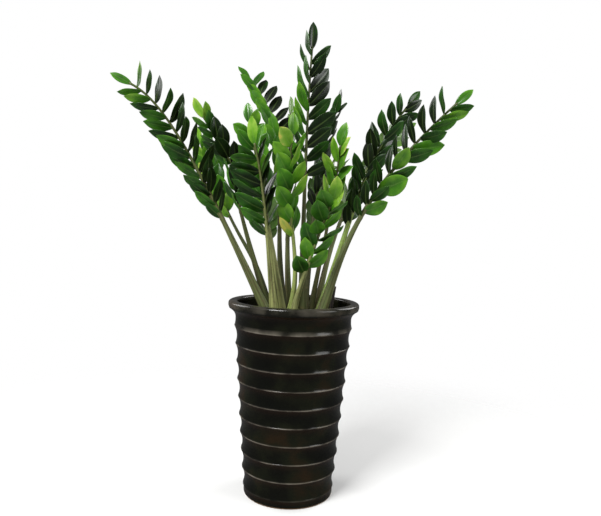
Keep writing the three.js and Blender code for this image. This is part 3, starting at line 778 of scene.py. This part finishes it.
def leaflet_skin(leaf, number, tone):
    """One leaflet: an oblong blade with a short foot and a small point, folded along its midrib, wavy at
    its margins, falling back at the tip and bent a little towards the frond's tip."""
    vary = lambda use, middle, spread: middle + spread * (chance(number, leaf["number"], use) - 0.5)
    length = leaf["length"]
    width = leaf["width"] * vary(11, FULLNESS, 0.2) * (LAST_FULLNESS if leaf["last"] else 1)
    if (number, leaf["number"]) in ROUND_LEAFLETS:
        width *= ROUND_WIDTH
    if (number, leaf["number"]) == YELLOW_LEAFLET:
        width, length = width * YELLOW_WIDTH, length * YELLOW_LENGTH
    fold, recurve, bend = vary(12, 0.34, 0.3), vary(13, 0.1, 0.16), vary(14, 0.05, 0.1)
    wave, phase = vary(15, 0.012, 0.016), vary(16, 0, 6)
    way, turn = BLADE_WAYS[:, None], BLADE_TURNS[None, :]
    across, lift = np.cos(turn) + 0 * way, np.sin(turn) + 0 * way
    oblong = np.sin(math.pi * way ** 1.02) ** 0.62 * (1 - 0.45 * np.clip((way - 0.8) / 0.2, 0, 1) ** 2)
    half = np.hypot(width / 2 * oblong, FOOT_WIDTH * (1 - way) ** 8)
    folded = half * fold * (np.sqrt(across ** 2 + 0.01) - 0.5 * across ** 2)
    fallen = -recurve * length * way ** 2 + wave * length * np.abs(across) ** 3 * np.sin(9 * way + phase)
    rib = RIB_HEIGHT * np.exp(-(across / RIB_REACH) ** 2) * (1 - 0.8 * way)
    thick = LEAF_THICKNESS / 2 * lift * np.sqrt(oblong.clip(0.2, 1)) - np.where(lift < 0, rib, 0.35 * rib)
    sideways = across * half - leaf["side"] * bend * length * way ** 2
    points = (np.array(leaf["root"]) + np.array(leaf["along"]) * (way + 0 * turn)[..., None] * length
              + np.array(leaf["across"]) * sideways[..., None]
              + np.array(leaf["upper"]) * (folded + fallen + thick - 1)[..., None])
    marks = np.stack([across, way + 0 * turn, lift, tone + 0 * across,
                      chance(number, leaf["number"], 17) + 0 * across, half + 0 * turn], axis=-1)
    return skin(np.concatenate([points, marks], axis=-1))


def waxy_leaf():
    """A leaflet's skin: deep to yellow green under a clear wax that shines, with a pale midrib and fine
    side veins. The underside is lighter and duller. Painted shade and light: each leaflet is darker at its
    foot and along its folded midrib, lighter towards its tip and margins."""
    material, tree = new_material("waxy leaf, smooth and glossy")
    blade = add_node(tree, "ShaderNodeAttribute", {}, attribute_name="blade").outputs["Vector"]
    tone = add_node(tree, "ShaderNodeAttribute", {}, attribute_name="tone").outputs["Vector"]
    place = add_node(tree, "ShaderNodeTexCoord", {}).outputs["Object"]
    where = add_node(tree, "ShaderNodeSeparateXYZ", {0: blade})
    tones = add_node(tree, "ShaderNodeSeparateXYZ", {0: tone})
    mottling = add_node(tree, "ShaderNodeTexNoise", {"Vector": place, "Scale": scale_for(28), "Detail": 4})
    patchy = add_node(tree, "ShaderNodeMapRange", {
        "Value": mottling.outputs[0], "From Min": 0.3, "From Max": 0.7, "To Min": -0.1, "To Max": 0.1})
    aside = add_node(tree, "ShaderNodeMath", {0: where.outputs[0]}, operation="ABSOLUTE")
    # Painted shade and light: darker along the folded midrib and at the foot, lighter towards the margins
    # and the tip.
    outward = add_node(tree, "ShaderNodeMapRange", {
        "Value": aside.outputs[0], "From Min": 0, "From Max": 1, "To Min": -0.07, "To Max": 0.05})
    painted_shade_at_foot = add_node(tree, "ShaderNodeMapRange", {
        "Value": where.outputs[1], "From Min": 0, "From Max": 1, "To Min": -0.12, "To Max": 0.07})
    shade = tones.outputs[0]
    for change in (patchy, outward, painted_shade_at_foot):
        shade = add_node(tree, "ShaderNodeMath", {0: shade, 1: change.outputs[0]}).outputs[0]
    green = add_node(tree, "ShaderNodeValToRGB", {0: shade}, stops=[
        (0, "#070f04"), (1, "#c8c658"), (0.2, "#0d2507"), (0.42, "#24540f"), (0.62, "#427c16"),
        (0.8, "#6ea426"), (0.92, "#94ba48")])
    # The midrib is a faint pale band, drawn wider than a real one so that it shows.
    rib_width = add_node(tree, "ShaderNodeMapRange", {
        "Value": where.outputs[1], "From Min": 0, "From Max": 1, "To Min": 0.2, "To Max": 0.04})
    rib_share = add_node(tree, "ShaderNodeMapRange", {
        "Value": aside.outputs[0], "From Min": rib_width.outputs[0], "From Max": 0, "To Min": 0,
        "To Max": 0.2})
    ribbed = add_node(tree, "ShaderNodeMix", {
        0: rib_share.outputs[0], 6: green.outputs[0], 7: linear("#8fb45c")}, data_type="RGBA")
    # The side veins slant towards the tip, about 5 mm apart.
    slant = add_node(tree, "ShaderNodeMath", {
        0: where.outputs[1], 1: VEIN_COUNT}, operation="MULTIPLY")
    slanted = add_node(tree, "ShaderNodeMath", {
        0: aside.outputs[0], 1: -VEIN_SLANT, 2: slant.outputs[0]}, operation="MULTIPLY_ADD")
    turns = add_node(tree, "ShaderNodeMath", {0: slanted.outputs[0], 1: 2 * math.pi}, operation="MULTIPLY")
    veins = add_node(tree, "ShaderNodeMath", {0: turns.outputs[0]}, operation="SINE")
    vein_share = add_node(tree, "ShaderNodeMapRange", {
        "Value": veins.outputs[0], "From Min": 0.6, "From Max": 1, "To Min": 0, "To Max": 0.04})
    veined = add_node(tree, "ShaderNodeMix", {
        0: vein_share.outputs[0], 6: ribbed.outputs[2], 7: linear("#8fb45c")}, data_type="RGBA")
    margin = add_node(tree, "ShaderNodeMapRange", {
        "Value": aside.outputs[0], "From Min": 0.93, "From Max": 1, "To Min": 0, "To Max": 0.18})
    edged = add_node(tree, "ShaderNodeMix", {
        0: margin.outputs[0], 6: veined.outputs[2], 7: linear("#86a858")}, data_type="RGBA")
    under = add_node(tree, "ShaderNodeMapRange", {
        "Value": where.outputs[2], "From Min": 0.02, "From Max": -0.1, "To Min": 0, "To Max": 0.4})
    colour = add_node(tree, "ShaderNodeMix", {
        0: under.outputs[0], 6: edged.outputs[2], 7: linear("#7fa050")}, data_type="RGBA")
    rough = add_node(tree, "ShaderNodeMapRange", {
        "Value": under.outputs[0], "From Min": 0, "From Max": 0.4, "To Min": 0.29, "To Max": 0.45})
    heights = add_node(tree, "ShaderNodeMath", {
        0: veins.outputs[0], 1: 0.3, 2: mottling.outputs[0]}, operation="MULTIPLY_ADD")
    bump = add_node(tree, "ShaderNodeBump", {
        "Height": heights.outputs[0], "Strength": 0.2, "Distance": 0.4 * MM})
    shader = add_node(tree, "ShaderNodeBsdfPrincipled", {
        "Base Color": colour.outputs[2], "Roughness": rough.outputs[0], "IOR": 1.45,
        "Normal": bump.outputs[0], "Coat Weight": 0.35, "Coat Roughness": 0.18})
    add_node(tree, "ShaderNodeOutputMaterial", {"Surface": shader.outputs[0]})
    return material


def tone_and_painted_light(leaf, number):
    """How light a leaflet is: by its row, partly painted light and shade, lighter towards the frond's young
    tip, and some by chance.
    """
    if (number, leaf["number"]) == YELLOW_LEAFLET:
        return 1
    if (number, leaf["number"]) in ROUND_LEAFLETS:
        return ROUND_TONE
    left, right, tip = FRONDS[number - 1]["tones"]
    young = max(0, (leaf["way"] - (1 - YOUNG_PART)) / YOUNG_PART)
    # A row's tone is partly painted light and shade: a row where light falls is lighter, a row in shade
    # darker.
    row = right if leaf["side"] > 0 else left
    varied = TONE_VARIATION * (chance(number, leaf["number"], 18) - 0.5)
    return min(row + (tip - row) * young + varied, LIGHTEST_TONE)


waxy = waxy_leaf()
whole_stems = [rough_stem(stem, 0, stem.tip, STALK_STEPS + LEAFY_STEPS, GAP) for stem in stems]
finished = []
for number, stem in enumerate(stems, start=1):
    neighbours = whole_stems[:number - 1] + whole_stems[number:] + finished
    placed = leaflets_with_room(stem, number, tree_of(joined(neighbours)))
    leafy_stem = rough_stem(stem, stem.frond["start"], stem.tip, LEAFY_STEPS, 0)
    finished.append(joined([leafy_stem] + [rough_blade(leaf, 0) for leaf in placed]))
    blades = joined([leaflet_skin(leaf, number, tone_and_painted_light(leaf, number)) for leaf in placed])
    leaflets = make_piece(f"waxy_leaflets_{number:02}", blades, waxy, ["blade", "tone"])
    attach(leaflets, "root")
    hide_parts(f"leaves_{number:02}")

# ---------------------------------------------------------------- studio
# A plain pale floor that fades into an even white surround, with large soft lamps: one high on the left
# in front, a weaker one on the right, and one on each side behind.

FLOOR_RADIUS = 2.4  # metres
FLOOR_FADE = (0.5, 1.5)  # where it starts to fade and has gone
LAMPS = [  # place in metres, width, power in watts
    ((-1.3, -1.9, 2.7), 1.2, 100),
    ((2.2, -1.2, 1.5), 1.3, 22),
    ((-2.2, 1.0, 1.8), 1.5, 30),
    ((2.0, 1.4, 2.0), 1.5, 30),
]
LAMP_AIM = Vector((0, 0, 0.75))
SURROUND_LIGHT = 0.34
SURROUND_GLOSS = 0.11


def pale_floor():
    """Painted board: matt and nearly white, with a faint unevenness."""
    material, tree = new_material("painted board, matt white")
    place = add_node(tree, "ShaderNodeTexCoord", {}).outputs["Object"]
    clouds = add_node(tree, "ShaderNodeTexNoise", {"Vector": place, "Scale": scale_for(700), "Detail": 3})
    colour = add_node(tree, "ShaderNodeValToRGB", {0: clouds.outputs[0]}, stops=[
        (0.3, "#f1f1f0"), (0.7, "#f6f6f5")])
    away = add_node(tree, "ShaderNodeVectorMath", {0: place}, operation="LENGTH")
    there = add_node(tree, "ShaderNodeMapRange", {
        "Value": away.outputs["Value"], "From Min": FLOOR_FADE[0], "From Max": FLOOR_FADE[1],
        "To Min": 1, "To Max": 0}, interpolation_type="SMOOTHSTEP")
    shader = add_node(tree, "ShaderNodeBsdfPrincipled", {
        "Base Color": colour.outputs[0], "Roughness": 0.8, "Specular IOR Level": 0.2,
        "Alpha": there.outputs[0]})
    add_node(tree, "ShaderNodeOutputMaterial", {"Surface": shader.outputs[0]})
    return material


bpy.ops.mesh.primitive_circle_add(vertices=96, radius=FLOOR_RADIUS, fill_type="NGON")
floor = bpy.context.object
floor.name = "floor"
floor.data.materials.append(pale_floor())
floor.visible_glossy = False

for place, width, power in LAMPS:
    lamp_data = bpy.data.lights.new("soft lamp", "AREA")
    lamp_data.size, lamp_data.energy = width, power
    lamp = bpy.data.objects.new("soft_lamp", lamp_data)
    lamp.location = place
    lamp.rotation_euler = (LAMP_AIM - Vector(place)).to_track_quat("-Z", "Y").to_euler()
    lamp.visible_camera = False
    bpy.context.scene.collection.objects.link(lamp)

# The surround is white to the eye. It lights the object with less than that, and shows in its gloss as
# the dim room behind the lamps.
world = bpy.data.worlds.new("white surround")
world.use_nodes = True
bpy.context.scene.world = world
world.node_tree.nodes.clear()
ray = add_node(world.node_tree, "ShaderNodeLightPath", {})
dim = add_node(world.node_tree, "ShaderNodeMapRange", {
    "Value": ray.outputs["Is Glossy Ray"], "To Min": SURROUND_LIGHT, "To Max": SURROUND_GLOSS})
strength = add_node(world.node_tree, "ShaderNodeMix", {
    0: ray.outputs["Is Camera Ray"], 2: dim.outputs[0], 3: 1.0}, data_type="FLOAT")
surround = add_node(world.node_tree, "ShaderNodeBackground", {
    "Color": (1, 1, 1, 1), "Strength": strength.outputs[0]})
add_node(world.node_tree, "ShaderNodeOutputWorld", {"Surface": surround.outputs[0]})
bpy.context.scene.view_settings.view_transform = "Standard"

# ---------------------------------------------------------------- camera
# At the height of the lower leaflets, straight in front, tipped down a little and leaning 2 degrees.

CAMERA_PLACE = (0, -1.515, 0.6855)
CAMERA_LENS = 35.04
CAMERA_SENSOR = 36
CAMERA_DOWN = 2.77  # degrees
CAMERA_ASIDE = 0.49  # degrees
CAMERA_LEAN = 2.0  # degrees

camera = bpy.data.objects.new("camera", bpy.data.cameras.new("camera"))
bpy.context.scene.collection.objects.link(camera)
camera.data.lens = CAMERA_LENS
camera.data.sensor_width = CAMERA_SENSOR
camera.location = CAMERA_PLACE
turned = (Matrix.Rotation(math.radians(-CAMERA_ASIDE), 4, "Z")
          @ Matrix.Rotation(math.radians(90 - CAMERA_DOWN), 4, "X")
          @ Matrix.Rotation(math.radians(CAMERA_LEAN), 4, "Z"))
camera.rotation_euler = turned.to_euler()
bpy.context.scene.camera = camera
